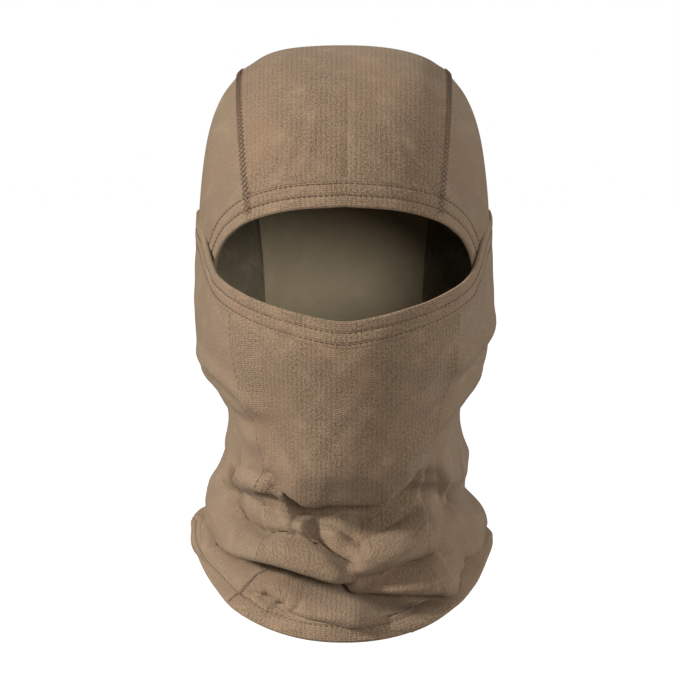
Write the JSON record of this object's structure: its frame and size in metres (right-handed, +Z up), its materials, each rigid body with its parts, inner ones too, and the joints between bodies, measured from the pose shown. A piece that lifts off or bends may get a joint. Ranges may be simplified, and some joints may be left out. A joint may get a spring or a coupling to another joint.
{
  "type": "balaclava face mask",
  "caption": "knitted full-head balaclava with a pull-down face mask over an eye opening and a gathered neck",
  "frame": {"origin": "middle of the wearer's head, between the ears", "axes": "+Z up over the crown, -Y where the face looks, +X to the right as seen from the front"},
  "size_m": [0.1752, 0.222, 0.3311],
  "materials": {
    "textured_knit": "matt mesh knit",
    "smooth_knit": "matt jersey knit",
    "hem_knit": "matt folded knit",
    "sewing_thread": "matt polyester thread"
  },
  "bodies": {
    "hood": {"crown_panel": "textured_knit", "hood_side_left": "smooth_knit", "hood_side_right": "smooth_knit", "brow_hem": "hem_knit", "brow_stitches_lower": "sewing_thread", "brow_stitches_upper": "sewing_thread", "crown_seam_left": "sewing_thread", "crown_seam_right": "sewing_thread", "mask_side_seam_left": "sewing_thread", "mask_side_seam_right": "sewing_thread", "chin_panel": "textured_knit", "jaw_panel_left": "smooth_knit", "jaw_panel_right": "smooth_knit", "neck_front_panel": "textured_knit", "neck_back_panel": "textured_knit", "neck_side_left": "smooth_knit", "neck_side_right": "smooth_knit", "neck_seam_left": "sewing_thread", "neck_seam_right": "sewing_thread"},
    "mask": {"mask_hem": "hem_knit", "mask_stitches_upper": "sewing_thread", "mask_stitches_lower": "sewing_thread", "mask_front_panel": "textured_knit", "mask_side_left": "smooth_knit", "mask_side_right": "smooth_knit", "mask_seam_left": "sewing_thread", "mask_seam_right": "sewing_thread"},
    "collar": {"collar_front_panel": "textured_knit", "collar_back_panel": "textured_knit", "collar_side_left": "smooth_knit", "collar_side_right": "smooth_knit", "collar_seam_left": "sewing_thread", "collar_seam_right": "sewing_thread", "neck_hem": "hem_knit", "neck_hem_stitches": "sewing_thread"}
  },
  "joints": [
    {"name": "mask_pull_down", "type": "hinge", "parent": "hood", "child": "mask", "pos_m": [0, 0.035, 0.01], "axis": [1, 0, 0], "range_deg": [0, 18], "deforming": ["chin_panel", "jaw_panel_left", "jaw_panel_right"]},
    {"name": "collar_pull_down", "type": "slide", "parent": "hood", "child": "collar", "axis": [0, 0, -1], "range_m": [0, 0.025], "deforming": ["neck_front_panel", "neck_back_panel", "neck_side_left", "neck_side_right", "neck_seam_left", "neck_seam_right"]}
  ]
}
